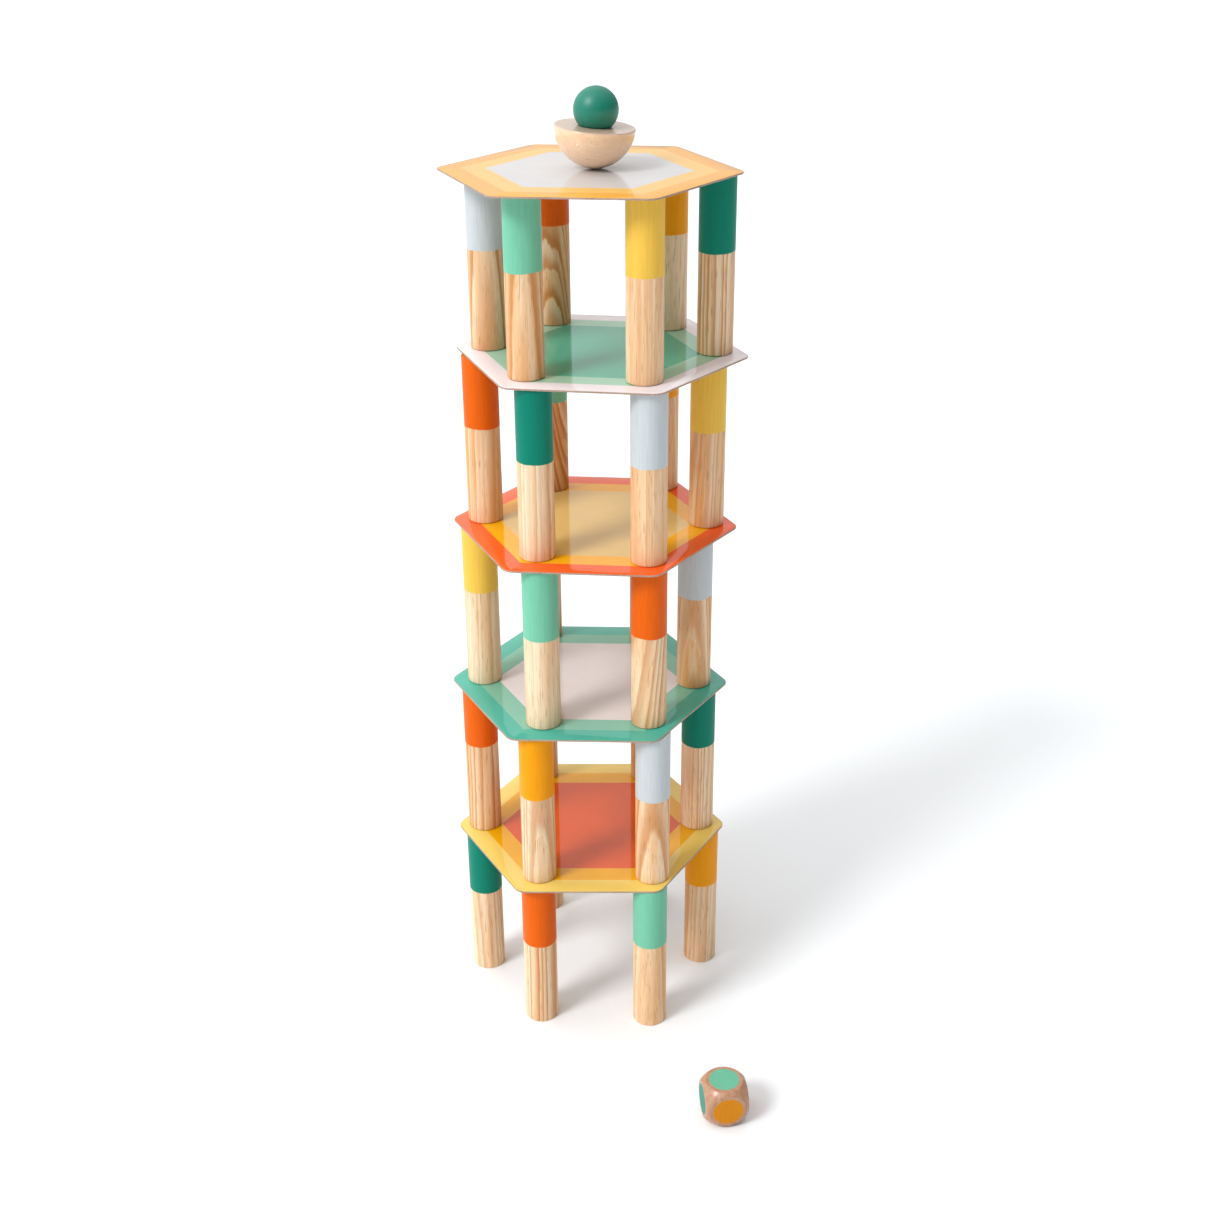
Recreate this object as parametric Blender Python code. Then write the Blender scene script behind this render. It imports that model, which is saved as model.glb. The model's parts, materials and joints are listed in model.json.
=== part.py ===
"""Giant tumbling tower, modelled as its separate loose wooden pieces.

Five storeys of six upright dowel pillars carry five thin hexagonal boards. A half-ball
rocks on the top board with a ball resting in the dimple of its flat face, and the die
that says which pillar colour to pull lies on the floor in front.

Metres, +Z up. The floor is z = 0, and the origin is at the bottom centre of the box
around all the pieces. +X runs to the right and -Y to the front, where the die lies.
"""

import math

import bmesh
import bpy
from mathutils import Matrix, Vector

# Boards: thin printed hexagons with a corner pointing left and right.
BOARD_ACROSS_FLATS = 0.215
BOARD_THICKNESS = 0.0015
BOARD_CORNER_RADIUS = 0.011
PRINT_BAND = 0.0178

# Pillars: one size of dowel, painted from the top down.
PILLAR_DIAMETER = 0.030
PILLAR_LENGTH = 0.1467
PILLAR_EDGE_CHAMFER = 0.0007
PILLAR_PAINTED = 0.060
PILLAR_CORNER_MARGIN = 0.012

# Half-ball, with a dimple in its flat face for the ball.
HALF_BALL_DIAMETER = 0.065
HALF_BALL_RIM_ROUND = 0.0012
DIMPLE_DEPTH = 0.0058
DIMPLE_CLEARANCE = 0.0003

# Ball and die. The die is a cube whose corners and edges are turned off to a ball.
BALL_DIAMETER = 0.036
DIE_SIDE = 0.037
DIE_ROUND_DIAMETER = 0.0485

# Loose pieces meet with this gap.
REST_GAP = 0.0003

# The order of the places round a board, each with its bearing from the board's centre.
PLACES = {
    "right": 0,
    "back_right": 60,
    "back_left": 120,
    "left": 180,
    "front_left": 240,
    "front_right": 300,
}

# How the tower was stacked by hand, storey by storey from the floor. Each storey gives
# the shift of its board in millimetres and its twist in degrees, then each pillar's
# colour and how far it stands out from and round from its place, in millimetres.
STOREYS = (
    {
        "shift": (-5, -17),
        "twist": -0.8,
        "pillars": {
            "right": ("amber", 6, -1),
            "back_right": ("yellow", 8, -4),
            "back_left": ("light", -2, -1),
            "left": ("green", 3, 10),
            "front_left": ("orange", 1, 4),
            "front_right": ("mint", 10, 0),
        },
    },
    {
        "shift": (-5, -10),
        "twist": -2.7,
        "pillars": {
            "right": ("green", 1, 4),
            "back_right": ("mint", 5, -1),
            "back_left": ("yellow", 5, -2),
            "left": ("orange", 2, -3),
            "front_left": ("amber", -5, 2),
            "front_right": ("light", 2, 7),
        },
    },
    {
        "shift": (1, 1),
        "twist": -5.6,
        "pillars": {
            "right": ("light", -4, 0),
            "back_right": ("green", 0, 0),
            "back_left": ("amber", 5, -6),
            "left": ("yellow", -3, -2),
            "front_left": ("mint", -13, 8),
            "front_right": ("orange", -7, 11),
        },
    },
    {
        "shift": (8, 14),
        "twist": -8.5,
        "pillars": {
            "right": ("yellow", -1, 7),
            "back_right": ("amber", 7, 0),
            "back_left": ("mint", -4, 0),
            "left": ("orange", -2, -3),
            "front_left": ("green", -13, 3),
            "front_right": ("light", -4, 7),
        },
    },
    {
        "shift": (0, 12),
        "twist": -6.5,
        "pillars": {
            "right": ("green", -3, 9),
            "back_right": ("amber", -5, -3),
            "back_left": ("orange", 0, 6),
            "left": ("light", -2, -1),
            "front_left": ("mint", -7, -4),
            "front_right": ("yellow", -8, 2),
        },
    },
)

# The half-ball stands off the top board's centre in millimetres, and leans in degrees
# about X and Y. The die lies in front of the tower, turned in degrees.
HALF_BALL_SHIFT = (5, 4)
HALF_BALL_LEAN = (1, 4.5)
DIE_PLACE = (106.6, -237.5)
DIE_TURN = 8.5

BOARD_COLOURS = (
    ("#EBCB67", "#E9A800", "#DD5A1F"),
    ("#49AE99", "#7DBAA0", "#DFD5D1"),
    ("#FA601C", "#F8B208", "#E6C378"),
    ("#F1E8EC", "#A1D1B5", "#53B092"),
    ("#F2A614", "#F2BC50", "#CFCDCD"),
)
PAINTS = {
    "green": "#007F69",
    "orange": "#E56100",
    "mint": "#76C3A3",
    "light": "#C6CDD0",
    "amber": "#F39D00",
    "yellow": "#F0C14E",
}
PINE = "#E3BD90"
BEECH = "#F1CFAA"
DIE_WOOD = "#B5856A"

BOARD_CIRCUMRADIUS = BOARD_ACROSS_FLATS / math.sqrt(3)
PILLAR_RADIUS = PILLAR_DIAMETER / 2
PILLAR_RING = BOARD_CIRCUMRADIUS - PILLAR_RADIUS - PILLAR_CORNER_MARGIN
HALF_BALL_RADIUS = HALF_BALL_DIAMETER / 2
BALL_RADIUS = BALL_DIAMETER / 2
MM = 0.001


def clear_scene():
    """Removes every object, so that only the tower's pieces are left."""
    for obj in list(bpy.data.objects):
        bpy.data.objects.remove(obj, do_unlink=True)


def linear_rgba(code):
    """The linear colour of an sRGB hex code."""
    values = [int(code[i : i + 2], 16) / 255 for i in (1, 3, 5)]
    lin = [v / 12.92 if v <= 0.04045 else ((v + 0.055) / 1.055) ** 2.4 for v in values]
    return (*lin, 1.0)


def finish(name, code, roughness, coat=0.0):
    """A non-metallic finish: lacquered print, satin paint or oiled wood."""
    material = bpy.data.materials.new(name)
    material.use_nodes = True
    shader = material.node_tree.nodes["Principled BSDF"]
    shader.inputs["Base Color"].default_value = linear_rgba(code)
    shader.inputs["Roughness"].default_value = roughness
    shader.inputs["Metallic"].default_value = 0.0
    shader.inputs["Coat Weight"].default_value = coat
    material.diffuse_color = linear_rgba(code)
    return material


def add_piece(name, bm, materials, smooth_angle=30.0):
    """A named object from a bmesh, shaded smooth except across its crisp edges."""
    bmesh.ops.recalc_face_normals(bm, faces=bm.faces)
    mesh = bpy.data.meshes.new(name)
    bm.to_mesh(mesh)
    bm.free()
    for material in materials:
        mesh.materials.append(material)
    mesh.shade_smooth()
    mesh.set_sharp_from_angle(angle=math.radians(smooth_angle))
    obj = bpy.data.objects.new(name, mesh)
    bpy.context.scene.collection.objects.link(obj)
    return obj


def board_top(storey):
    """Height of the top of a storey's board above the floor."""
    return storey * (PILLAR_LENGTH + BOARD_THICKNESS) + (2 * storey - 1) * REST_GAP


def foot_height(storey):
    """Height of the feet of a storey's pillars: on the floor, or on the board below."""
    return 0.0 if storey == 1 else board_top(storey - 1) + REST_GAP


def board_place(storey):
    """The centre of a storey's board from above, and its twist."""
    shift = STOREYS[storey - 1]["shift"]
    return Vector((shift[0] * MM, shift[1] * MM)), math.radians(STOREYS[storey - 1]["twist"])


def pillar_place(storey, place):
    """Where a pillar stands, measured on the board under it, or under the first board."""
    centre, twist = board_place(max(storey - 1, 1))
    _, out, round_by = STOREYS[storey - 1]["pillars"][place]
    bearing = math.radians(PLACES[place]) + twist
    outward = Vector((math.cos(bearing), math.sin(bearing)))
    along = Vector((-outward.y, outward.x))
    return centre + outward * (PILLAR_RING + out * MM) + along * (round_by * MM)


def make_board(storey, finishes):
    """A thin hexagon, its printed bands inset from the edge and its corners rounded."""
    bm = bmesh.new()
    bmesh.ops.create_circle(bm, cap_ends=True, segments=6, radius=BOARD_CIRCUMRADIUS)
    bmesh.ops.rotate(bm, verts=bm.verts, matrix=Matrix.Rotation(math.radians(30), 3, "Z"))
    bmesh.ops.translate(bm, verts=bm.verts, vec=(0, 0, -BOARD_THICKNESS))
    under = bm.faces[:]
    raised = bmesh.ops.extrude_face_region(bm, geom=under, use_keep_orig=True)["geom"]
    lifted = [v for v in raised if isinstance(v, bmesh.types.BMVert)]
    bmesh.ops.translate(bm, verts=lifted, vec=(0, 0, BOARD_THICKNESS))
    top = next(f for f in raised if isinstance(f, bmesh.types.BMFace))
    for slot in (1, 2):
        bmesh.ops.inset_region(bm, faces=[top], thickness=PRINT_BAND, use_even_offset=True)
        top.material_index = slot
    uprights = [e for e in bm.edges if abs(e.verts[0].co.z - e.verts[1].co.z) > BOARD_THICKNESS / 2]
    bmesh.ops.bevel(
        bm,
        geom=uprights,
        offset=BOARD_CORNER_RADIUS / math.sqrt(3),
        offset_type="OFFSET",
        segments=5,
        profile=0.5,
        affect="EDGES",
        material=-1,
    )
    return add_piece(f"board_{storey}", bm, finishes)


def make_pillar(storey, place, paint, wood):
    """A dowel with chamfered ends, painted down from its top end."""
    bm = bmesh.new()
    bmesh.ops.create_cone(
        bm,
        cap_ends=True,
        segments=24,
        radius1=PILLAR_RADIUS,
        radius2=PILLAR_RADIUS,
        depth=PILLAR_LENGTH,
        matrix=Matrix.Translation((0, 0, PILLAR_LENGTH / 2)),
    )
    rims = [e for e in bm.edges if e.verts[0].co.z == e.verts[1].co.z]
    bmesh.ops.bevel(
        bm,
        geom=rims,
        offset=PILLAR_EDGE_CHAMFER,
        offset_type="OFFSET",
        segments=1,
        profile=0.5,
        affect="EDGES",
        material=-1,
    )
    paint_line = PILLAR_LENGTH - PILLAR_PAINTED
    bmesh.ops.bisect_plane(
        bm,
        geom=bm.verts[:] + bm.edges[:] + bm.faces[:],
        dist=1e-6,
        plane_co=(0, 0, paint_line),
        plane_no=(0, 0, 1),
    )
    for face in bm.faces:
        face.material_index = 1 if face.calc_center_median().z > paint_line else 0
    obj = add_piece(f"pillar_{storey}_{place}", bm, [wood, paint])
    obj.location = (*pillar_place(storey, place), foot_height(storey))
    return obj


def turned(points, steps):
    """A bmesh turned from (radius, height) points, which start and end on the axis."""
    bm = bmesh.new()
    verts = [bm.verts.new((r, 0, z)) for r, z in points]
    edges = [bm.edges.new(pair) for pair in zip(verts, verts[1:])]
    bmesh.ops.spin(
        bm,
        geom=verts + edges,
        cent=(0, 0, 0),
        axis=(0, 0, 1),
        angle=math.tau,
        steps=steps,
        use_merge=True,
    )
    bmesh.ops.remove_doubles(bm, verts=bm.verts, dist=1e-6)
    return bm


def arc(radius, centre_r, centre_z, start, end, count):
    """Points along an arc, between two angles in degrees."""
    angles = [math.radians(start + (end - start) * i / count) for i in range(count + 1)]
    return [(centre_r + radius * math.cos(a), centre_z + radius * math.sin(a)) for a in angles]


def dimple_centre_height():
    """Height of the dimple's centre, which is also the ball's, above the flat face."""
    return BALL_RADIUS + DIMPLE_CLEARANCE - DIMPLE_DEPTH


def make_half_ball(wood):
    """A turned half-ball, its origin at the ball's centre, flat face up and dimpled."""
    rim = HALF_BALL_RIM_ROUND
    rim_centre = math.sqrt((HALF_BALL_RADIUS - rim) ** 2 - rim**2)
    dip = math.degrees(math.atan2(-rim, rim_centre))
    points = arc(HALF_BALL_RADIUS, 0, 0, -90, dip, 11)
    points[0] = (0.0, -HALF_BALL_RADIUS)
    points += arc(rim, rim_centre, -rim, dip, 90, 4)[1:]
    bowl = BALL_RADIUS + DIMPLE_CLEARANCE
    mouth = math.degrees(math.asin(-dimple_centre_height() / bowl))
    dimple = arc(bowl, 0, dimple_centre_height(), mouth, -90, 5)
    dimple[-1] = (0.0, -DIMPLE_DEPTH)
    obj = add_piece("half_ball", turned(points + dimple, 36), [wood])
    centre, _ = board_place(len(STOREYS))
    obj.location = (
        centre.x + HALF_BALL_SHIFT[0] * MM,
        centre.y + HALF_BALL_SHIFT[1] * MM,
        board_top(len(STOREYS)) + REST_GAP + HALF_BALL_RADIUS,
    )
    obj.rotation_euler = [math.radians(angle) for angle in (*HALF_BALL_LEAN, 0)]
    return obj


def make_ball(paint):
    """The ball, concentric with the dimple it sits in."""
    bm = bmesh.new()
    bmesh.ops.create_uvsphere(bm, u_segments=32, v_segments=16, radius=BALL_RADIUS)
    obj = add_piece("ball", bm, [paint])
    obj.location = (0, 0, dimple_centre_height())
    return obj


def make_die(wood):
    """A cube rounded to a ball, so each face is a flat disc. It lies on the floor."""
    bm = bmesh.new()
    bmesh.ops.create_uvsphere(bm, u_segments=36, v_segments=24, radius=DIE_ROUND_DIAMETER / 2)
    bmesh.ops.rotate(bm, verts=bm.verts, matrix=Matrix.Rotation(math.radians(5), 3, "Z"))
    for axis in range(3):
        for sign in (-1, 1):
            normal = Vector((0, 0, 0))
            normal[axis] = sign
            cut = bmesh.ops.bisect_plane(
                bm,
                geom=bm.verts[:] + bm.edges[:] + bm.faces[:],
                dist=1e-5,
                plane_co=normal * DIE_SIDE / 2,
                plane_no=normal,
                clear_outer=True,
            )["geom_cut"]
            rim = [e for e in cut if isinstance(e, bmesh.types.BMEdge)]
            bmesh.ops.edgeloop_fill(bm, edges=rim)
    obj = add_piece("die", bm, [wood])
    obj.location = (DIE_PLACE[0] * MM, DIE_PLACE[1] * MM, DIE_SIDE / 2)
    obj.rotation_euler = (0, 0, math.radians(DIE_TURN))
    return obj


def centre_on_origin(anchor):
    """Moves the whole set so that its box is centred over the origin."""
    bpy.context.view_layer.update()
    corners = [
        obj.matrix_world @ vertex.co
        for obj in bpy.data.objects
        if obj.type == "MESH"
        for vertex in obj.data.vertices
    ]
    for axis in (0, 1):
        low = min(corner[axis] for corner in corners)
        high = max(corner[axis] for corner in corners)
        anchor.location[axis] = -(low + high) / 2


clear_scene()
anchor = bpy.data.objects.new("tower_set", None)
bpy.context.scene.collection.objects.link(anchor)
pine = finish("oiled_pine", PINE, 0.55)
paints = {name: finish(f"satin_{name}", code, 0.4) for name, code in PAINTS.items()}

loose = []
for storey in range(1, len(STOREYS) + 1):
    codes = BOARD_COLOURS[storey - 1]
    zones = [
        finish(f"print_{storey}_{zone}", code, 0.1, coat=1.0)
        for zone, code in zip(("border", "ring", "centre"), codes)
    ]
    board = make_board(storey, zones)
    centre, twist = board_place(storey)
    board.location = (*centre, board_top(storey))
    board.rotation_euler = (0, 0, twist)
    loose.append(board)
    for place in PLACES:
        paint = paints[STOREYS[storey - 1]["pillars"][place][0]]
        loose.append(make_pillar(storey, place, paint, pine))

half_ball = make_half_ball(finish("varnished_beech", BEECH, 0.3, coat=0.5))
ball = make_ball(paints["green"])
ball.parent = half_ball
loose += [half_ball, make_die(finish("oiled_beech", DIE_WOOD, 0.5))]
for piece in loose:
    piece.parent = anchor
centre_on_origin(anchor)
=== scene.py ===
import json
import math

import bmesh
import bpy
from mathutils import Matrix, Vector, noise


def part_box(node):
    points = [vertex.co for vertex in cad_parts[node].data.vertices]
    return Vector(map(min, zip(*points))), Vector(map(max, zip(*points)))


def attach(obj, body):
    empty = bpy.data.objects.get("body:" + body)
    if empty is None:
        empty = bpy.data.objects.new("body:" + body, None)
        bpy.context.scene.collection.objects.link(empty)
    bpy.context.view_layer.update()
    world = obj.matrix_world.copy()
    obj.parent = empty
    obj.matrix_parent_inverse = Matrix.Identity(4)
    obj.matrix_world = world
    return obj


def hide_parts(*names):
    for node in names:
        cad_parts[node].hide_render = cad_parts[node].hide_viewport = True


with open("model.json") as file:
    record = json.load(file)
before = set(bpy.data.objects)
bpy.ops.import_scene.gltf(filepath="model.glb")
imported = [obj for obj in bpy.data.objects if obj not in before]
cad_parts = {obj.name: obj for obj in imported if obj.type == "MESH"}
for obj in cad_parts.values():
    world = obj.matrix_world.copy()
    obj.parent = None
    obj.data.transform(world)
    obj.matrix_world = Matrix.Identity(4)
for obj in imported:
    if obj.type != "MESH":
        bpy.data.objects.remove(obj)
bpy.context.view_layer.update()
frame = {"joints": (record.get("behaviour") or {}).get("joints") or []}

MM = 0.001


# ---- Pillars ---------------------------------------------------------------------------
# Thirty lengths of 30 mm pine dowel from different parts of a log, so their growth rings
# show as stripes or as long pointed arches. Their ends are sawn square and eased, and the
# upper 60 mm is brushed with satin paint down to a line masked by eye. They stand loose.

DOWEL_SIDES = 72
END_EASE = 0.9 * MM
BESIDE_EASE = 0.4 * MM
HEART_MEASURED_AT = 70 * MM
RING_WIDTH = 3.4 * MM
LOG_STEP = 0.31
PAINT_FILM = 0.10 * MM
PAINT_WAVER = 0.5 * MM

PAINTS = {
    "green": "#007F69",
    "orange": "#E56100",
    "mint": "#76C3A3",
    "light": "#C6CDD0",
    "amber": "#F39D00",
    "yellow": "#F0C14E",
}

# For each pillar: its paint, the painted length in millimetres, then where it was cut.
# The cut is the distance to the heart of the log in millimetres, the bearing of the heart
# in degrees (270 is the front), how far the dowel leans towards the heart and sideways
# to it in degrees, how dark the rings are, how honey-coloured the wood is, and how many
# times the usual width the rings have. Places up the log are 0.31 m apart.
PILLARS = {
    (1, "right"): ("amber", 58.5, 40, 200, 1.6, 0.3, 0.55, 0.4, 1.3),
    (1, "back_right"): ("yellow", 60, 40, 120, 1.5, 0.0, 0.5, 0.25, 1.0),
    (1, "back_left"): ("light", 60, 44, 60, -1.2, 0.0, 0.6, 0.30, 1.0),
    (1, "left"): ("green", 59.7, 36, 20, 0.8, 0.8, 0.6, 0.15, 1.4),
    (1, "front_left"): ("orange", 62.6, 30, 190, 0.6, 0.5, 1.1, 0.1, 1.45),
    (1, "front_right"): ("mint", 60, 46, 85, 1.5, 0.3, 0.35, 0.5, 0.9),
    (2, "right"): ("green", 58.8, 24, 215, 1.4, 1.6, 0.8, 0.1, 1.0),
    (2, "back_right"): ("mint", 60, 38, 100, 2.0, 0.0, 0.7, 0.30, 1.0),
    (2, "back_left"): ("yellow", 60, 52, 30, 0.5, 0.0, 0.5, 0.25, 0.9),
    (2, "left"): ("orange", 57.6, 42, 170, 0.9, 0.2, 1.1, 0.2, 1.6),
    (2, "front_left"): ("amber", 61.4, 24, 105, 1.8, 0.4, 1.2, 0.15, 1.0),
    (2, "front_right"): ("light", 62.8, 20, 92, 3.2, 0.6, 1.1, 0.25, 1.2),
    (3, "right"): ("light", 59.9, 24, 80, 2.6, 0.6, 1.0, 0.55, 1.0),
    (3, "back_right"): ("green", 60, 40, 60, 1.2, 0.0, 0.6, 0.30, 1.0),
    (3, "back_left"): ("amber", 60, 44, 120, -1.8, 0.4, 0.7, 0.30, 1.1),
    (3, "left"): ("yellow", 56.9, 60, 175, 0.6, 0.4, 0.35, 0.02, 1.4),
    (3, "front_left"): ("mint", 63.5, 80, 185, 0.3, 0.2, 0.35, 0.1, 0.9),
    (3, "front_right"): ("orange", 61.9, 46, 10, -6.0, 0.5, 0.9, 0.25, 1.8),
    (4, "right"): ("yellow", 61.3, 44, 20, -2.0, 0.5, 0.7, 0.45, 1.3),
    (4, "back_right"): ("amber", 60, 36, 95, 1.8, 0.3, 0.6, 0.30, 1.1),
    (4, "back_left"): ("mint", 63, 44, 172, -8, 0.5, 1.8, 0.7, 1.0),
    (4, "left"): ("orange", 61.5, 70, 165, 0.8, 0.3, 0.55, 0.5, 1.1),
    (4, "front_left"): ("green", 62.2, 60, 190, 0.4, 0.3, 0.5, 0.05, 1.4),
    (4, "front_right"): ("light", 62.8, 80, 350, 0.4, -0.4, 0.5, 0.6, 1.0),
    (5, "right"): ("green", 62.5, 40, 185, 0.3, 0.3, 1.1, 0.2, 1.35),
    (5, "back_right"): ("amber", 64.5, 34, 95, -2.0, 0.3, 0.6, 0.05, 1.5),
    (5, "back_left"): ("orange", 60, 20, 82, 5.0, 1.2, 1.3, 0.4, 0.7),
    (5, "left"): ("light", 63.1, 35, 88, 2.3, 0.2, 1.2, 0.25, 1.8),
    (5, "front_left"): ("mint", 61.2, 33, 88, 2.0, 0.5, 1.1, 0.45, 1.8),
    (5, "front_right"): ("yellow", 62.1, 90, 180, 0.3, 0.2, 0.35, 0.45, 0.9),
}


def colour(code):
    """The linear colour of an sRGB hex code."""
    values = [int(code[i : i + 2], 16) / 255 for i in (1, 3, 5)]
    lin = [v / 12.92 if v <= 0.04045 else ((v + 0.055) / 1.055) ** 2.4 for v in values]
    return (*lin, 1.0)


def node(tree, kind, inputs=None, **settings):
    """Adds a node with its settings; each input is a value or another node's socket."""
    made = tree.nodes.new(kind)
    for name, value in settings.items():
        setattr(made, name, value)
    for name, value in (inputs or {}).items():
        if isinstance(value, bpy.types.NodeSocket):
            tree.links.new(value, made.inputs[name])
        else:
            made.inputs[name].default_value = value
    return made


def new_material(name, **constants):
    """A material whose shader has these constants on its own sockets."""
    material = bpy.data.materials.new(name)
    material.use_nodes = True
    shader = material.node_tree.nodes["Principled BSDF"]
    for socket, value in constants.items():
        shader.inputs[socket.replace("_", " ")].default_value = value
    return material, material.node_tree, shader


def add_piece(name, bm, materials, body, replaced=None, crisp=35.0):
    """A named piece from a bmesh, smooth but for its crisp edges, riding on a body."""
    mesh = bpy.data.meshes.new(name)
    bm.to_mesh(mesh)
    bm.free()
    for material in materials:
        mesh.materials.append(material)
    mesh.shade_smooth()
    mesh.set_sharp_from_angle(angle=math.radians(crisp))
    piece = bpy.data.objects.new(name, mesh)
    bpy.context.scene.collection.objects.link(piece)
    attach(piece, body)
    if replaced:
        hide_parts(replaced)
    return piece


def arc(radius, centre_r, centre_z, start, end, count):
    """Points (distance from the axis, height) along an arc between two angles."""
    angles = [math.radians(start + (end - start) * i / count) for i in range(count + 1)]
    return [(centre_r + radius * math.cos(a), centre_z + radius * math.sin(a)) for a in angles]


def turned(points, steps):
    """A closed shape turned from (radius, height) points that start and end on the axis."""
    bm = bmesh.new()
    verts = [bm.verts.new((r, 0, z)) for r, z in points]
    edges = [bm.edges.new(pair) for pair in zip(verts, verts[1:])]
    bmesh.ops.spin(
        bm,
        geom=verts + edges,
        cent=(0, 0, 0),
        axis=(0, 0, 1),
        angle=math.tau,
        steps=steps,
        use_merge=True,
    )
    bmesh.ops.remove_doubles(bm, verts=bm.verts, dist=1e-7)
    bmesh.ops.recalc_face_normals(bm, faces=bm.faces)
    return bm


def store_vectors(piece, name, vectors):
    """Keeps one vector for each vertex of a piece, for its material to read."""
    attribute = piece.data.attributes.new(name, "FLOAT_VECTOR", "POINT")
    attribute.data.foreach_set("vector", [x for v in vectors for x in v])


def cut_from_log(piece, foot, cut, number):
    """Stores where each point of a dowel lay in its log, and how the log looked."""
    heart, bearing, lean, side, *look = cut
    towards = Vector((math.cos(math.radians(bearing)), math.sin(math.radians(bearing)), 0))
    across = Vector((-towards.y, towards.x, 0))
    tilt = towards * math.tan(math.radians(lean)) + across * math.tan(math.radians(side))
    up_the_log = Vector((0, 0, LOG_STEP * number))
    places = []
    for vertex in piece.data.vertices:
        local = vertex.co - foot
        leaning = local + tilt * (local.z - HEART_MEASURED_AT)
        places.append(leaning - towards * heart * MM + up_the_log)
    store_vectors(piece, "timber", places)
    store_vectors(piece, "figure", [look] * len(places))


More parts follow.
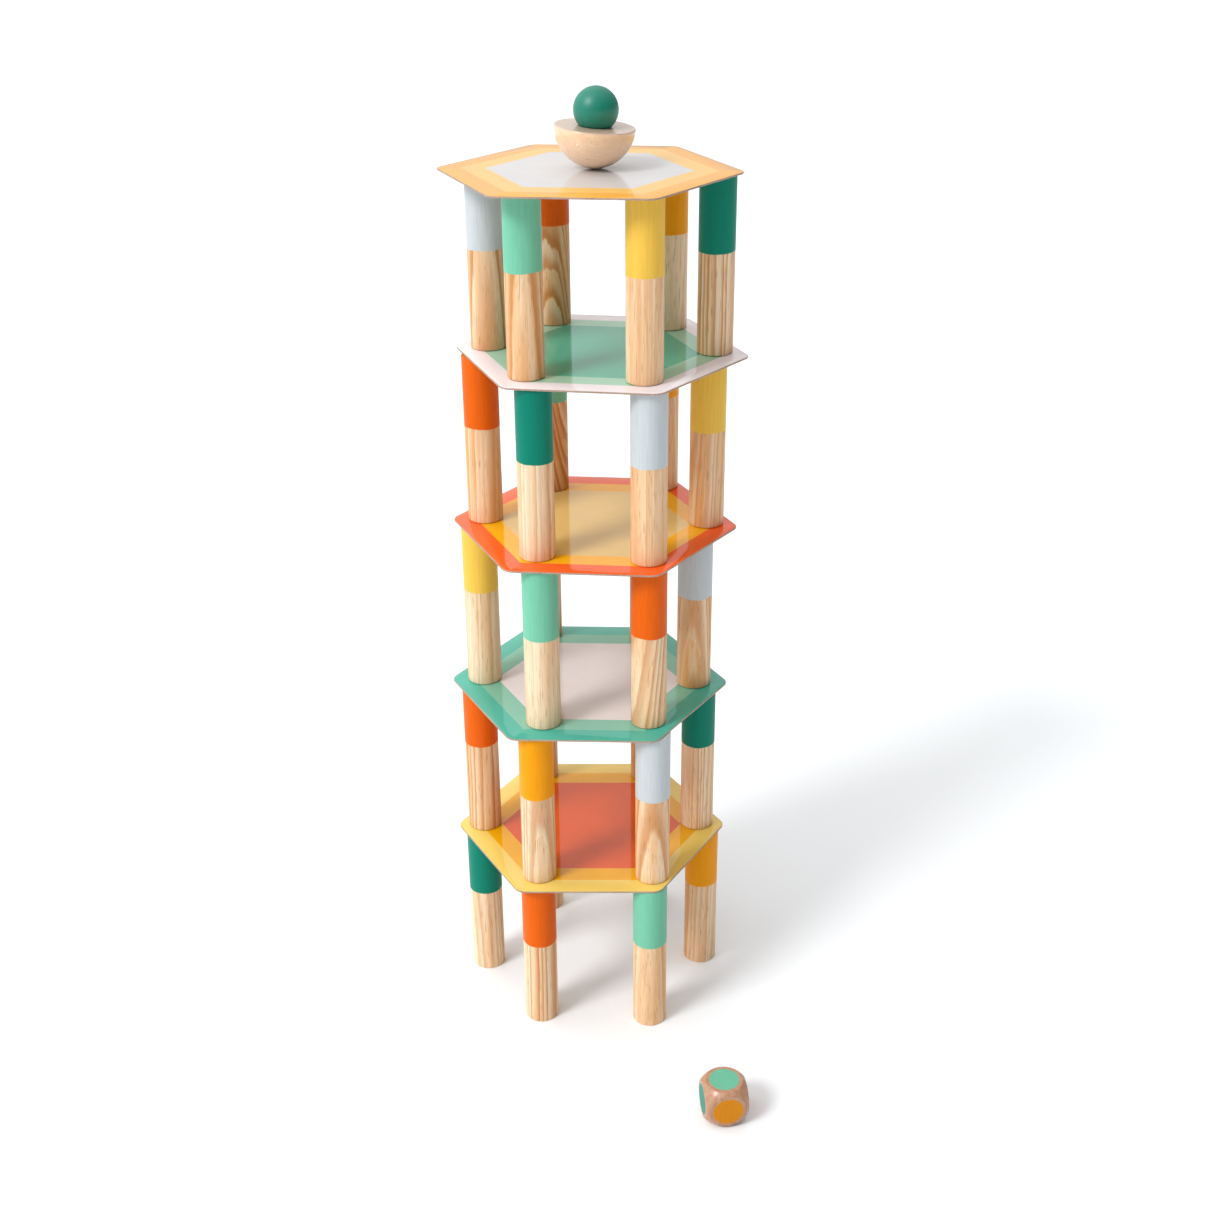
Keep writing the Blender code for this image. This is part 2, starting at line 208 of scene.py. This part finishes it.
def make_pine():
    """Pine, sanded and oiled: soft pale spring wood and narrow honey-brown late wood.

    Every ring has its own width and darkness, its edges are drawn out along the fibres,
    and slow patches of honey colour and short dark resin ducts lie over the rings.
    """
    material, tree, shader = new_material("pine_sanded_and_oiled", IOR=1.45)
    timber = node(tree, "ShaderNodeAttribute", attribute_name="timber").outputs["Vector"]
    figure = node(tree, "ShaderNodeAttribute", attribute_name="figure").outputs["Vector"]
    dark, honey, wide = node(tree, "ShaderNodeSeparateXYZ", {0: figure}).outputs

    # Four grains, by how many times they repeat in a metre across and along the log: the
    # trunk's own waver (13 mm by 130 mm), honey patches (7 mm by 150 mm), fibres (0.6 mm by
    # 20 mm) and resin ducts (0.8 mm by 14 mm, drawn wider than they are so that they show).
    grain = []
    for across, along, detail in ((78, 8, 2.0), (140, 6.5, 2.0), (1600, 48, 3.0), (1250, 70, 0.0)):
        at = node(
            tree,
            "ShaderNodeVectorMath",
            {0: timber, 1: (across, across, along)},
            operation="MULTIPLY",
        )
        made = node(
            tree, "ShaderNodeTexNoise", {"Vector": at.outputs[0], "Scale": 1.0, "Detail": detail}
        )
        grain.append(made.outputs[0])
    waver, patch, fibre, duct = grain

    # Rings: distance from the heart, moved by up to 3.2 mm by the waver and 0.7 mm by the
    # fibres, over the width of a ring. The pace makes some rings wider than others.
    flat = node(tree, "ShaderNodeVectorMath", {0: timber, 1: (1, 1, 0)}, operation="MULTIPLY")
    out = node(tree, "ShaderNodeVectorMath", {0: flat.outputs[0]}, operation="LENGTH")
    bent = node(
        tree,
        "ShaderNodeMath",
        {0: waver, 1: 3.2 * MM, 2: out.outputs["Value"]},
        operation="MULTIPLY_ADD",
    )
    frayed = node(
        tree,
        "ShaderNodeMath",
        {0: fibre, 1: 0.7 * MM, 2: bent.outputs[0]},
        operation="MULTIPLY_ADD",
    )
    width = node(tree, "ShaderNodeMath", {0: wide, 1: RING_WIDTH}, operation="MULTIPLY")
    even = node(
        tree, "ShaderNodeMath", {0: frayed.outputs[0], 1: width.outputs[0]}, operation="DIVIDE"
    )
    pace = node(
        tree,
        "ShaderNodeTexNoise",
        {"W": even.outputs[0], "Scale": 0.55, "Detail": 0.0},
        noise_dimensions="1D",
    )
    years = node(
        tree,
        "ShaderNodeMath",
        {0: pace.outputs[0], 1: 1.5, 2: even.outputs[0]},
        operation="MULTIPLY_ADD",
    )

    # A ring darkens slowly from spring to late summer and stops short at winter.
    season = node(tree, "ShaderNodeMath", {0: years.outputs[0]}, operation="FRACT")
    year = node(tree, "ShaderNodeMath", {0: years.outputs[0]}, operation="FLOOR")
    luck = node(tree, "ShaderNodeTexWhiteNoise", {"W": year.outputs[0]}, noise_dimensions="1D")
    vigour = node(
        tree, "ShaderNodeMapRange", {"Value": luck.outputs["Value"], "To Min": 0.45, "To Max": 1.0}
    )
    darkening = node(
        tree,
        "ShaderNodeMapRange",
        {"Value": season.outputs[0], "From Min": 0.2, "From Max": 0.88},
        interpolation_type="SMOOTHSTEP",
    )
    stopping = node(
        tree,
        "ShaderNodeMapRange",
        {"Value": season.outputs[0], "From Min": 0.88, "To Min": 1.0, "To Max": 0.0},
        interpolation_type="SMOOTHSTEP",
    )
    late = darkening.outputs[0]
    for other in (stopping.outputs[0], vigour.outputs[0], dark):
        late = node(
            tree, "ShaderNodeMath", {0: late, 1: other}, operation="MULTIPLY", use_clamp=True
        ).outputs[0]

    # Colours, laid over each other: pale wood, honey patches, late wood, resin ducts.
    patchy = node(
        tree,
        "ShaderNodeMapRange",
        {"Value": patch, "From Min": 0.35, "From Max": 0.65, "To Min": -0.5, "To Max": 0.1},
    )
    yearly = node(
        tree,
        "ShaderNodeMath",
        {0: luck.outputs["Value"], 1: 0.55, 2: patchy.outputs[0]},
        operation="MULTIPLY_ADD",
    )
    tinted = node(
        tree, "ShaderNodeMath", {0: yearly.outputs[0], 1: honey}, operation="ADD", use_clamp=True
    )
    ducts = node(
        tree,
        "ShaderNodeMapRange",
        {"Value": duct, "From Min": 0.66, "From Max": 0.78, "To Min": 0.0, "To Max": 0.45},
    )
    wood = colour("#F5DDBB")
    laid_over = (
        (tinted.outputs[0], "#E5AA6C"),
        (late, "#CB8545"),
        (ducts.outputs[0], "#A66B38"),
    )
    for amount, code in laid_over:
        wood = node(
            tree, "ShaderNodeMix", {0: amount, 6: wood, 7: colour(code)}, data_type="RGBA"
        ).outputs[2]
    streak = node(
        tree,
        "ShaderNodeMapRange",
        {"Value": fibre, "From Min": 0.25, "From Max": 0.75, "To Min": 0.88, "To Max": 1.06},
    )
    lit = node(
        tree, "ShaderNodeVectorMath", {0: wood, "Scale": streak.outputs[0]}, operation="SCALE"
    )
    tree.links.new(lit.outputs[0], shader.inputs["Base Color"])
    rough = node(tree, "ShaderNodeMapRange", {"Value": late, "To Min": 0.6, "To Max": 0.48})
    tree.links.new(rough.outputs[0], shader.inputs["Roughness"])
    relief = node(
        tree, "ShaderNodeBump", {"Height": fibre, "Strength": 0.35, "Distance": 0.06 * MM}
    )
    tree.links.new(relief.outputs[0], shader.inputs["Normal"])
    return material


def make_paint(name, code, sheen=0.15):
    """Satin water-based paint, brushed on thin, so the fibres under it still show."""
    material, tree, shader = new_material(
        f"satin_paint_{name}", Roughness=0.42, IOR=1.45, Specular_IOR_Level=sheen
    )
    timber = node(tree, "ShaderNodeAttribute", attribute_name="timber").outputs["Vector"]
    # Brush marks and fibres 1.1 mm wide and 33 mm long, drawn wider than they are to show.
    fibre_at = node(
        tree, "ShaderNodeVectorMath", {0: timber, 1: (900, 900, 30)}, operation="MULTIPLY"
    )
    fibre = node(
        tree, "ShaderNodeTexNoise", {"Vector": fibre_at.outputs[0], "Scale": 1.0, "Detail": 3.0}
    )
    thin = node(
        tree,
        "ShaderNodeMapRange",
        {
            "Value": fibre.outputs[0],
            "From Min": 0.3,
            "From Max": 0.7,
            "To Min": 0.93,
            "To Max": 1.04,
        },
    )
    lit = node(
        tree,
        "ShaderNodeVectorMath",
        {0: colour(code)[:3], "Scale": thin.outputs[0]},
        operation="SCALE",
    )
    tree.links.new(lit.outputs[0], shader.inputs["Base Color"])
    relief = node(
        tree,
        "ShaderNodeBump",
        {"Height": fibre.outputs[0], "Strength": 0.25, "Distance": 0.05 * MM},
    )
    tree.links.new(relief.outputs[0], shader.inputs["Normal"])
    return material


pine = make_pine()
paints = {name: make_paint(name, code) for name, code in PAINTS.items()}

for number, ((storey, place), (paint, painted, *cut)) in enumerate(PILLARS.items()):
    body = f"pillar_{storey}_{place}"
    low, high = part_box(body)
    foot = Vector(((low.x + high.x) / 2, (low.y + high.y) / 2, low.z))
    radius, length = (high.x - low.x) / 2, high.z - low.z

    # The dowel, with a short flat beside each eased rim so the long sides stay straight.
    profile = [(0, 0), (radius - END_EASE - BESIDE_EASE, 0)]
    profile += arc(END_EASE, radius - END_EASE, END_EASE, -90, 0, 4)
    profile += [(radius, END_EASE + BESIDE_EASE), (radius, length - END_EASE - BESIDE_EASE)]
    profile += arc(END_EASE, radius - END_EASE, length - END_EASE, 0, 90, 4)
    profile += [(radius - END_EASE - BESIDE_EASE, length), (0, length)]
    bm = turned(profile, DOWEL_SIDES)
    bmesh.ops.translate(bm, verts=bm.verts, vec=foot)
    dowel = add_piece(f"{body}_dowel", bm, [pine], body, replaced=body)
    cut_from_log(dowel, foot, cut, number)

    # The coat of paint: a thin cap over the top, its lower edge wavering with the hand.
    line = length - painted * MM
    outer, inner, crown = radius + PAINT_FILM, radius - PAINT_FILM, length + PAINT_FILM
    ease = END_EASE + PAINT_FILM
    profile = [(0, length - PAINT_FILM), (radius - ease, length - PAINT_FILM)]
    profile += [(inner, length - ease), (inner, line + 0.3 * MM)]
    profile += [(radius - 0.02 * MM, line), (radius + 0.06 * MM, line + 0.02 * MM)]
    profile += [(outer, line + 0.12 * MM), (outer, line + 0.6 * MM)]
    profile += [(outer, length - END_EASE - BESIDE_EASE)]
    profile += arc(ease, outer - ease, crown - ease, 0, 90, 4)
    profile += [(outer - ease - BESIDE_EASE, crown), (0, crown)]
    bm = turned(profile, DOWEL_SIDES)
    for vertex in bm.verts:
        if vertex.co.z < line + 1 * MM:
            around = Vector((vertex.co.x, vertex.co.y, 0)).normalized()
            slow = noise.noise(around * 0.9 + Vector((0, 0, 3.1 * number)))
            fine = noise.noise(around * 5.0 + Vector((0, 0, 7.7 * number)))
            vertex.co.z += PAINT_WAVER * (1.6 * slow + 0.35 * fine)
    bmesh.ops.translate(bm, verts=bm.verts, vec=foot)
    coat = add_piece(f"{body}_paint", bm, [paints[paint]], body)
    cut_from_log(coat, foot, cut, number)


# ---- Boards ----------------------------------------------------------------------------
# Five hexagonal boards of thin hardboard, 215 mm across the flats, with rounded corners.
# Each is faced on top with a printed sheet in three zones, a border, a ring and a centre,
# under gloss lacquer; its sawn rim and its back are bare. They lie loose on the pillars.

ACROSS_FLATS = 215 * MM
CORNER_RADIUS = 11 * MM
BARE_RIM = 0.5 * MM
PRINT_BAND = 17.8 * MM
PRINT_SHEET = 0.12 * MM

# From the lowest board up: its twist on the stack in degrees, and the colours of its
# border, its ring and its centre.
TWISTS = (-0.8, -2.7, -5.6, -8.5, -6.5)
PRINTS = (
    ("#EBCB67", "#E9A800", "#DD5A1F"),
    ("#49AE99", "#7DBAA0", "#DFD5D1"),
    ("#FA601C", "#F8B208", "#E6C378"),
    ("#F1E8EC", "#A1D1B5", "#53B092"),
    ("#F2A614", "#F2BC50", "#CFCDCD"),
)


def make_print(name, code):
    """Ink under gloss lacquer: an even colour, a mirror-like skin with a faint ripple."""
    material, tree, shader = new_material(name, Roughness=0.06, IOR=1.5)
    here = node(tree, "ShaderNodeTexCoord").outputs["Object"]
    # Ink: cloudy by a few per cent over 30 mm. Lacquer: ripples 14 mm apart.
    cloud = node(tree, "ShaderNodeTexNoise", {"Vector": here, "Scale": 33.0, "Detail": 2.0})
    ink = node(
        tree,
        "ShaderNodeMapRange",
        {
            "Value": cloud.outputs[0],
            "From Min": 0.3,
            "From Max": 0.7,
            "To Min": 0.97,
            "To Max": 1.03,
        },
    )
    lit = node(
        tree,
        "ShaderNodeVectorMath",
        {0: colour(code)[:3], "Scale": ink.outputs[0]},
        operation="SCALE",
    )
    tree.links.new(lit.outputs[0], shader.inputs["Base Color"])
    ripple = node(tree, "ShaderNodeTexNoise", {"Vector": here, "Scale": 70.0, "Detail": 1.0})
    relief = node(
        tree,
        "ShaderNodeBump",
        {"Height": ripple.outputs[0], "Strength": 0.2, "Distance": 0.03 * MM},
    )
    tree.links.new(relief.outputs[0], shader.inputs["Normal"])
    return material


def make_hardboard():
    """Bare hardboard: pressed greyish-brown fibre, matt, finely mottled and a bit rough."""
    material, tree, shader = new_material("hardboard_bare", Roughness=0.7)
    here = node(tree, "ShaderNodeTexCoord").outputs["Object"]
    # Pressed fibres 1.2 mm apart, in clouds about 12 mm across.
    fibre = node(
        tree,
        "ShaderNodeTexNoise",
        {"Vector": here, "Scale": 850.0, "Detail": 3.0, "Roughness": 0.7},
    )
    cloud = node(tree, "ShaderNodeTexNoise", {"Vector": here, "Scale": 80.0, "Detail": 2.0})
    mottled = node(
        tree, "ShaderNodeMath", {0: fibre.outputs[0], 1: 0.7}, operation="MULTIPLY"
    )
    mottled = node(
        tree,
        "ShaderNodeMath",
        {0: cloud.outputs[0], 1: 0.3, 2: mottled.outputs[0]},
        operation="MULTIPLY_ADD",
    )
    spread = node(
        tree,
        "ShaderNodeMapRange",
        {"Value": mottled.outputs[0], "From Min": 0.35, "From Max": 0.65},
    )
    brown = node(
        tree,
        "ShaderNodeMix",
        {0: spread.outputs[0], 6: colour("#94796A"), 7: colour("#BFA694")},
        data_type="RGBA",
    )
    tree.links.new(brown.outputs[2], shader.inputs["Base Color"])
    relief = node(
        tree, "ShaderNodeBump", {"Height": fibre.outputs[0], "Strength": 0.4, "Distance": 0.05 * MM}
    )
    tree.links.new(relief.outputs[0], shader.inputs["Normal"])
    return material


def hexagon(bottom, top, inset, banded, ease):
    """A hexagonal sheet with rounded corners and eased rims; bands split its top face."""
    bm = bmesh.new()
    across = ACROSS_FLATS - 2 * inset
    # A corner to the left and one to the right; the upper face is lifted off the lower.
    bmesh.ops.create_circle(bm, cap_ends=True, segments=6, radius=across / math.sqrt(3))
    bmesh.ops.rotate(bm, verts=bm.verts, matrix=Matrix.Rotation(math.radians(30), 3, "Z"))
    bmesh.ops.translate(bm, verts=bm.verts, vec=(0, 0, bottom))
    made = bmesh.ops.extrude_face_region(bm, geom=bm.faces[:], use_keep_orig=True)["geom"]
    lifted = [v for v in made if isinstance(v, bmesh.types.BMVert)]
    bmesh.ops.translate(bm, verts=lifted, vec=(0, 0, top - bottom))
    bmesh.ops.recalc_face_normals(bm, faces=bm.faces)
    face = next(f for f in bm.faces if f.normal.z > 0.9)
    for zone in (1, 2) if banded else ():
        bmesh.ops.inset_region(
            bm, faces=[face], thickness=PRINT_BAND - inset * (zone == 1), use_even_offset=True
        )
        face.material_index = zone
    # At a corner of 120 degrees, a round starts its radius over the root of 3 away.
    upright = (top - bottom) / 2
    corners = [e for e in bm.edges if abs(e.verts[0].co.z - e.verts[1].co.z) > upright]
    bmesh.ops.bevel(
        bm,
        geom=corners,
        offset=(CORNER_RADIUS - inset) / math.sqrt(3),
        offset_type="OFFSET",
        segments=10,
        profile=0.5,
        affect="EDGES",
        material=-1,
    )
    # A rim is where a level face meets an upright one.
    rims = [
        e for e in bm.edges if sum(round(abs(f.normal.z)) for f in e.link_faces) == 1
    ]
    bmesh.ops.bevel(
        bm,
        geom=rims,
        offset=ease,
        offset_type="OFFSET",
        segments=2,
        profile=0.5,
        affect="EDGES",
        material=-1,
    )
    return bm


hardboard = make_hardboard()
for storey, (twist, codes) in enumerate(zip(TWISTS, PRINTS), 1):
    body = f"board_{storey}"
    low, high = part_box(body)
    place = Matrix.Translation(((low.x + high.x) / 2, (low.y + high.y) / 2, high.z))
    place = place @ Matrix.Rotation(math.radians(twist), 4, "Z")
    depth = high.z - low.z
    inks = [
        make_print(f"gloss_print_{storey}_{zone}", code)
        for zone, code in zip(("border", "ring", "centre"), codes)
    ]
    for name, bottom, top, inset, banded, ease, materials, slot in (
        ("core", -depth, -PRINT_SHEET / 2, 0, False, 0.35 * MM, [hardboard], "board_core"),
        ("print", -PRINT_SHEET, 0, BARE_RIM, True, 0.04 * MM, inks, f"print_{storey}"),
    ):
        bm = hexagon(bottom, top, inset, banded, ease)
        bmesh.ops.transform(bm, matrix=place, verts=bm.verts)
        replaced = body if name == "core" else None
        add_piece(f"{body}_{name}", bm, materials, body, replaced=replaced)


# ---- Half-ball -------------------------------------------------------------------------
# A half-ball of beech, turned on a lathe, sanded and varnished, with a shallow dimple
# scooped in the middle of its flat face. The flat face and the dimple are painted darker
# and greyer, as painted shade under the ball. It stands loose, and rocks on its round
# side on the top board.

HALF_BALL_RADIUS = 32.5 * MM
RIM_ROUND = 1.2 * MM
DIMPLE_DEPTH = 5.8 * MM
DIMPLE_CLEARANCE = 0.3 * MM
LIP = 0.35 * MM
BALL_RADIUS = 18 * MM

# How far it leans to the front and to the right, in degrees.
LEAN = (1.0, 4.5)


def make_beech(name, pale, dark, fleck_code, roughness, coat):
    """Beech: even and pinkish, faint rings, and short dark flecks along the grain."""
    material, tree, shader = new_material(
        name, Roughness=roughness, IOR=1.5, Coat_Weight=coat, Coat_Roughness=0.12
    )
    timber = node(tree, "ShaderNodeAttribute", attribute_name="timber").outputs["Vector"]
    # Rings 2.4 mm by 33 mm, and flecks 0.4 mm by 2 mm.
    ring_at = node(
        tree, "ShaderNodeVectorMath", {0: timber, 1: (420, 420, 30)}, operation="MULTIPLY"
    )
    ring = node(
        tree, "ShaderNodeTexNoise", {"Vector": ring_at.outputs[0], "Scale": 1.0, "Detail": 3.0}
    )
    fleck_at = node(
        tree, "ShaderNodeVectorMath", {0: timber, 1: (2600, 2600, 480)}, operation="MULTIPLY"
    )
    fleck = node(
        tree, "ShaderNodeTexNoise", {"Vector": fleck_at.outputs[0], "Scale": 1.0, "Detail": 1.0}
    )
    spread = node(
        tree,
        "ShaderNodeMapRange",
        {"Value": ring.outputs[0], "From Min": 0.3, "From Max": 0.7},
    )
    wood = node(
        tree,
        "ShaderNodeMix",
        {0: spread.outputs[0], 6: colour(pale), 7: colour(dark)},
        data_type="RGBA",
    )
    flecked = node(
        tree,
        "ShaderNodeMapRange",
        {"Value": fleck.outputs[0], "From Min": 0.62, "From Max": 0.72, "To Max": 0.5},
    )
    final = node(
        tree,
        "ShaderNodeMix",
        {0: flecked.outputs[0], 6: wood.outputs[2], 7: colour(fleck_code)},
        data_type="RGBA",
    )
    tree.links.new(final.outputs[2], shader.inputs["Base Color"])
    relief = node(
        tree, "ShaderNodeBump", {"Height": fleck.outputs[0], "Strength": 0.1, "Distance": 0.04 * MM}
    )
    tree.links.new(relief.outputs[0], shader.inputs["Normal"])
    return material


# The flat face and the dimple get a darker, greyer beech: painted shade under the ball.
flat_face_painted_shade = make_beech("beech_flat_face_painted_shade", "#D4B8A3", "#C8A994", "#A07A60", 0.32, 0.6)
beech = make_beech("beech_varnished", "#FAD7B5", "#F1CBA6", "#B47A50", 0.32, 0.6)
rocking = next(j for j in frame["joints"] if j["name"] == "rock_half_ball")
centre = Vector(rocking["pos_m"])

# The round side, the rounded rim, the flat face, the eased lip and the dimple.
rim_out = math.sqrt((HALF_BALL_RADIUS - RIM_ROUND) ** 2 - RIM_ROUND**2)
dip = math.degrees(math.atan2(-RIM_ROUND, rim_out))
bowl = BALL_RADIUS + DIMPLE_CLEARANCE
bowl_height = bowl - DIMPLE_DEPTH
mouth = math.degrees(math.asin(-bowl_height / bowl))
profile = arc(HALF_BALL_RADIUS, 0, 0, -90, dip, 36)
profile[0] = (0.0, -HALF_BALL_RADIUS)
profile += arc(RIM_ROUND, rim_out, -RIM_ROUND, dip, 90, 8)[1:]
mouth_out = bowl * math.cos(math.radians(mouth))
profile += [(rim_out - 1 * MM, 0.0), (mouth_out + 1 * MM, 0.0)]
profile += [(mouth_out + LIP, 0.0), (mouth_out + 0.1 * MM, -0.08 * MM)]
profile += arc(bowl, 0, bowl_height, mouth - 1.5, -90, 14)
profile[-1] = (0.0, -DIMPLE_DEPTH)
bm = turned(profile, 96)
# Faces turned upwards, the flat face and the dimple, take the painted shade.
for face in bm.faces:
    face.material_index = int(face.normal.z > 0.3)
forward, right = (math.radians(angle) for angle in LEAN)
leaning = Matrix.Rotation(right, 4, "Y") @ Matrix.Rotation(forward, 4, "X")
bmesh.ops.transform(bm, matrix=Matrix.Translation(centre) @ leaning, verts=bm.verts)
half_ball = add_piece(
    "half_ball_turned", bm, [beech, flat_face_painted_shade], "half_ball", replaced="half_ball"
)
grain = Matrix.Rotation(math.radians(80), 4, "Y") @ Matrix.Rotation(math.radians(20), 4, "X")
store_vectors(half_ball, "timber", [grain @ (v.co - centre) for v in half_ball.data.vertices])


# ---- Ball ------------------------------------------------------------------------------
# A 36 mm wooden ball dipped in the dark green satin paint, so its coat is thicker and
# shinier than the brushed ones. It rests loose in the dimple.

UNEVEN = 0.0012

ball_low, ball_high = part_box("ball")
middle = (ball_low + ball_high) / 2
half_circle = arc(BALL_RADIUS, 0, 0, -90, 90, 48)[1:-1]
bm = turned([(0.0, -BALL_RADIUS)] + half_circle + [(0.0, BALL_RADIUS)], 96)
for vertex in bm.verts:
    vertex.co *= 1 + UNEVEN * noise.noise(vertex.co * 60)
bmesh.ops.transform(bm, matrix=Matrix.Translation(middle), verts=bm.verts)
ball_green = make_paint("dark_green_dipped", "#0B7E69", sheen=0.6)
ball = add_piece(
    "ball_painted", bm, [ball_green], "ball", replaced="ball"
)

# The marks in the thicker paint are twice as wide as on the pillars.
store_vectors(ball, "timber", [(v.co - middle) * 0.5 for v in ball.data.vertices])


# ---- Die -------------------------------------------------------------------------------
# A 37 mm die of reddish beech, turned off at its corners and edges to a ball, so that each
# face is a flat disc, with a round spot in one of the six pillar colours printed on it.
# It lies on the floor, turned a little.

DIE_ROUND = 24.25 * MM
DIE_TURN = 8.5
SPOT_RADIUS = 12.8 * MM
SPOT_FILM = 0.08 * MM
SPOT_EASE = 0.05 * MM

# For each side: the pillar colour, the colour given to its spot, mostly a little darker
# than that paint, and where it faces.
SPOTS = {
    "top": ("mint", "#6CB697", (0, 0, 1)),
    "front": ("amber", "#D68608", (0, -1, 0)),
    "left": ("green", "#0F8570", (-1, 0, 0)),
    "right": ("orange", "#CC5504", (1, 0, 0)),
    "back": ("yellow", "#D9AE46", (0, 1, 0)),
    "bottom": ("light", "#BBC2C5", (0, 0, -1)),
}

die_wood = make_beech("beech_oiled_reddish", "#C09377", "#AA7754", "#8C5233", 0.42, 0.3)
low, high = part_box("die")
half = (high.z - low.z) / 2
middle = (low + high) / 2

# A ball, cut flat on its six sides, with the rims of the flats eased.
lying = Matrix.Translation(middle) @ Matrix.Rotation(math.radians(DIE_TURN), 4, "Z")
bm = bmesh.new()
bmesh.ops.create_uvsphere(bm, u_segments=96, v_segments=64, radius=DIE_ROUND)
for _, _, direction in SPOTS.values():
    normal = Vector(direction)
    cut = bmesh.ops.bisect_plane(
        bm,
        geom=bm.verts[:] + bm.edges[:] + bm.faces[:],
        dist=1e-6,
        plane_co=normal * half,
        plane_no=normal,
        clear_outer=True,
    )["geom_cut"]
    rim = [e for e in cut if isinstance(e, bmesh.types.BMEdge)]
    bmesh.ops.edgeloop_fill(bm, edges=rim)
bmesh.ops.recalc_face_normals(bm, faces=bm.faces)
bmesh.ops.bevel(
    bm,
    geom=[e for e in bm.edges if any(len(f.verts) > 20 for f in e.link_faces)],
    offset=0.5 * MM,
    offset_type="OFFSET",
    segments=3,
    profile=0.5,
    affect="EDGES",
    material=-1,
)
bmesh.ops.transform(bm, matrix=lying, verts=bm.verts)
die = add_piece("die_cube", bm, [die_wood], "die", replaced="die")
grain = Matrix.Rotation(math.radians(4), 4, "X")
store_vectors(die, "timber", [grain @ (v.co - middle) for v in die.data.vertices])

# The spots, each a film of ink sunk a little into the wood. The bottom one doesn't stand
# out at all, so that the die lies on its wood.
for side, (paint, code, direction) in SPOTS.items():
    profile = [(0, -SPOT_FILM), (SPOT_RADIUS - SPOT_EASE, -SPOT_FILM), (SPOT_RADIUS, 0)]
    profile += [(SPOT_RADIUS - SPOT_EASE, SPOT_FILM * 0.7), (SPOT_RADIUS - 0.3 * MM, SPOT_FILM)]
    profile += [(SPOT_RADIUS - 1 * MM, SPOT_FILM), (0, SPOT_FILM)]
    bm = turned(profile, 72)
    facing = Vector(direction).to_track_quat("Z", "Y").to_matrix().to_4x4()
    sunk = SPOT_FILM if side == "bottom" else 0
    outward = Matrix.Translation(Vector(direction) * (half - sunk))
    bmesh.ops.transform(bm, matrix=lying @ outward @ facing, verts=bm.verts)
    ink = make_paint(f"{paint}_printed_on_die", code)
    spot = add_piece(f"die_spot_{side}", bm, [ink], "die")
    store_vectors(spot, "timber", [(v.co - middle) * 0.7 for v in spot.data.vertices])


# ---- Floor, light and camera -----------------------------------------------------------
# A matt white floor under soft studio light. One soft key light shines from the upper
# left front and throws the long shadow to the right; the room around fills in the rest.
# The camera stands 1.2 m in front, a little above the top of the tower, and looks down.

FLOOR_REACH = 20

# The way the key light shines, its spread in degrees and its strength. Then how the room
# brightens along each axis from its middle level, and its dimmest. Then the camera.
KEY_DIRECTION = (0.79, 0.61, -0.92)
KEY_SPREAD = 19
KEY_STRENGTH = 1.8
ROOM_SLOPE = (-0.52, 0.34, 1.00)
ROOM_LEVEL = 0.28
ROOM_DIMMEST = 0.04
CAMERA_PLACE = (0.0104, -1.2350, 0.9926)
CAMERA_PITCH = 64.22
CAMERA_ROLL = -0.49
CAMERA_VIEW = 40.85

sweep, tree, shader = new_material("matt_white_sweep", Roughness=0.9, IOR=1.4)
here = node(tree, "ShaderNodeTexCoord").outputs["Object"]
# Clouded by about a per cent, half a metre apart.
paper = node(tree, "ShaderNodeTexNoise", {"Vector": here, "Scale": 2.0})
tint = node(
    tree,
    "ShaderNodeMix",
    {0: paper.outputs[0], 6: colour("#F2F5F8"), 7: colour("#F5F8FA")},
    data_type="RGBA",
)
tree.links.new(tint.outputs[2], shader.inputs["Base Color"])
bm = bmesh.new()
bmesh.ops.create_grid(bm, x_segments=4, y_segments=4, size=FLOOR_REACH)
floor_mesh = bpy.data.meshes.new("floor")
bm.to_mesh(floor_mesh)
bm.free()
floor_mesh.materials.append(sweep)
floor = bpy.data.objects.new("floor", floor_mesh)
bpy.context.scene.collection.objects.link(floor)

# The room: bright on the left, overhead and behind the tower, dim on the right and behind
# the camera, as between one big window and a white backdrop. The backdrop shows white.
world = bpy.data.worlds.new("studio")
bpy.context.scene.world = world
world.use_nodes = True
tree = world.node_tree
looking = node(tree, "ShaderNodeTexCoord").outputs["Generated"]
slope = node(
    tree, "ShaderNodeVectorMath", {0: looking, 1: ROOM_SLOPE}, operation="DOT_PRODUCT"
)
level = node(tree, "ShaderNodeMath", {0: slope.outputs["Value"], 1: ROOM_LEVEL}, operation="ADD")
dimmest = node(tree, "ShaderNodeMath", {0: level.outputs[0], 1: ROOM_DIMMEST}, operation="MAXIMUM")
seen = node(tree, "ShaderNodeLightPath").outputs["Is Camera Ray"]
strength = node(tree, "ShaderNodeMath", {0: dimmest.outputs[0], 1: seen}, operation="MAXIMUM")
background = tree.nodes["Background"]
background.inputs["Color"].default_value = (1, 1, 1, 1)
tree.links.new(strength.outputs[0], background.inputs["Strength"])

lamp = bpy.data.lights.new("key_lamp", "SUN")
lamp.angle = math.radians(KEY_SPREAD)
lamp.energy = KEY_STRENGTH
key = bpy.data.objects.new("key_lamp", lamp)
key.rotation_mode = "QUATERNION"
key.rotation_quaternion = Vector(KEY_DIRECTION).to_track_quat("-Z", "Y")
bpy.context.scene.collection.objects.link(key)

camera_data = bpy.data.cameras.new("camera")
camera_data.angle = math.radians(CAMERA_VIEW)
camera = bpy.data.objects.new("camera", camera_data)
camera.matrix_world = (
    Matrix.Translation(CAMERA_PLACE)
    @ Matrix.Rotation(math.radians(CAMERA_PITCH), 4, "X")
    @ Matrix.Rotation(math.radians(CAMERA_ROLL), 4, "Z")
)
bpy.context.scene.collection.objects.link(camera)
bpy.context.scene.camera = camera

# Colours come out as they are, with no film-like curve over them.
bpy.context.scene.view_settings.view_transform = "Standard"
